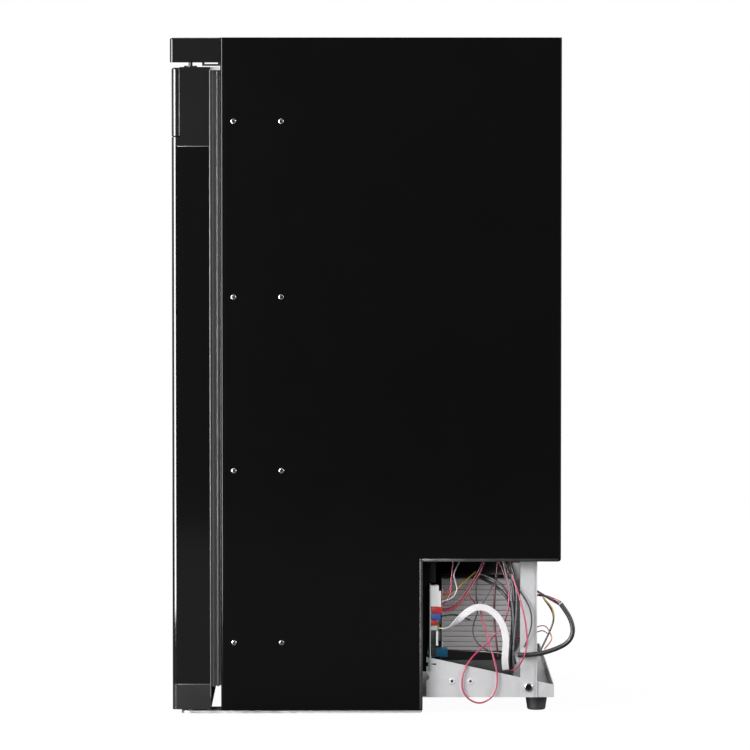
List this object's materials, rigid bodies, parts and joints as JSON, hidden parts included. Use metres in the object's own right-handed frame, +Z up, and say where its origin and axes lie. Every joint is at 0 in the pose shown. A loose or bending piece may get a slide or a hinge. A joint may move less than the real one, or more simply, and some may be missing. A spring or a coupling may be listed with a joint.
{
  "type": "glass door merchandiser",
  "caption": "Black upright refrigerated display cabinet with a single glass door, wire shelves and an open rear machinery bay with compressor, board and wiring.",
  "frame": {"origin": "bottom centre of the cabinet, on the floor", "axes": "+Z up, -Y towards the door, +X towards the door's hinge side"},
  "size_m": [0.614, 0.6068, 1.013],
  "materials": {
    "black_steel": "gloss black painted sheet steel",
    "black_frame": "satin black door frame extrusion",
    "black_cap": "moulded black plastic",
    "galvanised": "galvanised sheet steel",
    "zinc_plate": "bright zinc plated",
    "screw_steel": "plated screw",
    "foam": "foamed-in insulation",
    "white_liner": "white moulded liner",
    "glass": "clear float glass",
    "spacer": "glazing spacer",
    "gasket": "magnetic door gasket",
    "white_wire": "white coated wire",
    "lens": "opal diffuser",
    "fin": "finned coil",
    "copper": "copper pipe",
    "black_plastic": "black moulded plastic",
    "compressor": "black stove enamel",
    "rubber": "black rubber",
    "display": "smoked display window",
    "key": "push key",
    "board": "circuit board laminate",
    "connector": "connector housings",
    "ribbon": "white flat cable",
    "red_wire": "red wire insulation",
    "black_wire": "black wire insulation"
  },
  "bodies": {
    "cabinet": {"side_panel_right": "black_steel", "side_panel_left": "black_steel", "side_panel_screws": "screw_steel", "top_panel": "black_steel", "back_panel": "galvanised", "floor_pan": "galvanised", "compartment_bulkhead": "black_steel", "inner_liner": "white_liner", "foam_insulation": "foam", "header_cover": "black_cap", "display_panel": "display", "top_hinge_bracket": "black_steel", "bottom_hinge_bracket": "zinc_plate", "frame_bolts": "screw_steel", "shelf_standards": "zinc_plate", "shelf_clips": "zinc_plate", "wire_shelf_lower": "white_wire", "wire_shelf_middle": "white_wire", "wire_shelf_upper": "white_wire", "light_housings": "white_liner", "light_lenses": "lens", "evaporator_cover": "white_liner", "evaporator_coil": "fin", "evaporator_fan_motor": "black_plastic", "base_tray": "galvanised", "rear_posts": "galvanised", "rubber_feet": "rubber", "compressor_shell": "compressor", "compressor_mounts": "rubber", "compressor_terminal_box": "black_plastic", "condenser_coil": "fin", "condenser_fan_shroud": "black_steel", "condenser_fan_motor": "zinc_plate", "condensate_pan": "black_plastic", "refrigerant_pipes": "copper", "control_board": "board", "board_carrier": "black_plastic", "wiring_connectors": "connector", "ribbon_cable": "ribbon", "loop_wire": "red_wire", "power_lead": "black_wire", "harness_sleeve": "black_wire", "red_wires": "red_wire", "black_wires": "black_wire", "thin_wires": "black_wire"},
    "door": {"door_hinge_stile": "black_frame", "door_latch_stile": "black_frame", "door_top_rail": "black_cap", "door_top_fascia": "black_cap", "door_bottom_rail": "black_cap", "door_outer_glass": "glass", "door_inner_glass": "glass", "glass_spacer": "spacer", "door_gasket": "gasket", "hinge_bushes": "black_plastic"},
    "condenser_fan": {"condenser_fan_blade": "black_plastic"},
    "evaporator_fan": {"evaporator_fan_blade": "black_plastic"},
    "down_key": {"button_down": "key"},
    "up_key": {"button_up": "key"},
    "light_key": {"button_light": "key"}
  },
  "joints": [
    {"name": "door_hinge", "type": "hinge", "parent": "cabinet", "child": "door", "pos_m": [0.288, -0.262, 0.5], "axis": [0, 0, 1], "range_deg": [0, 115]},
    {"name": "condenser_fan_spin", "type": "hinge", "parent": "cabinet", "child": "condenser_fan", "pos_m": [0.0917, 0.171, 0.128], "axis": [1, 0, 0], "continuous": true},
    {"name": "evaporator_fan_spin", "type": "hinge", "parent": "cabinet", "child": "evaporator_fan", "pos_m": [0, 0.1275, 0.886], "axis": [0, 0, 1], "continuous": true},
    {"name": "down_key_press", "type": "slide", "parent": "cabinet", "child": "down_key", "axis": [0, 1, 0], "range_m": [0, 0.0008], "stiffness_N_per_m": 500},
    {"name": "up_key_press", "type": "slide", "parent": "cabinet", "child": "up_key", "axis": [0, 1, 0], "range_m": [0, 0.0008], "stiffness_N_per_m": 500},
    {"name": "light_key_press", "type": "slide", "parent": "cabinet", "child": "light_key", "axis": [0, 1, 0], "range_m": [0, 0.0008], "stiffness_N_per_m": 500}
  ]
}
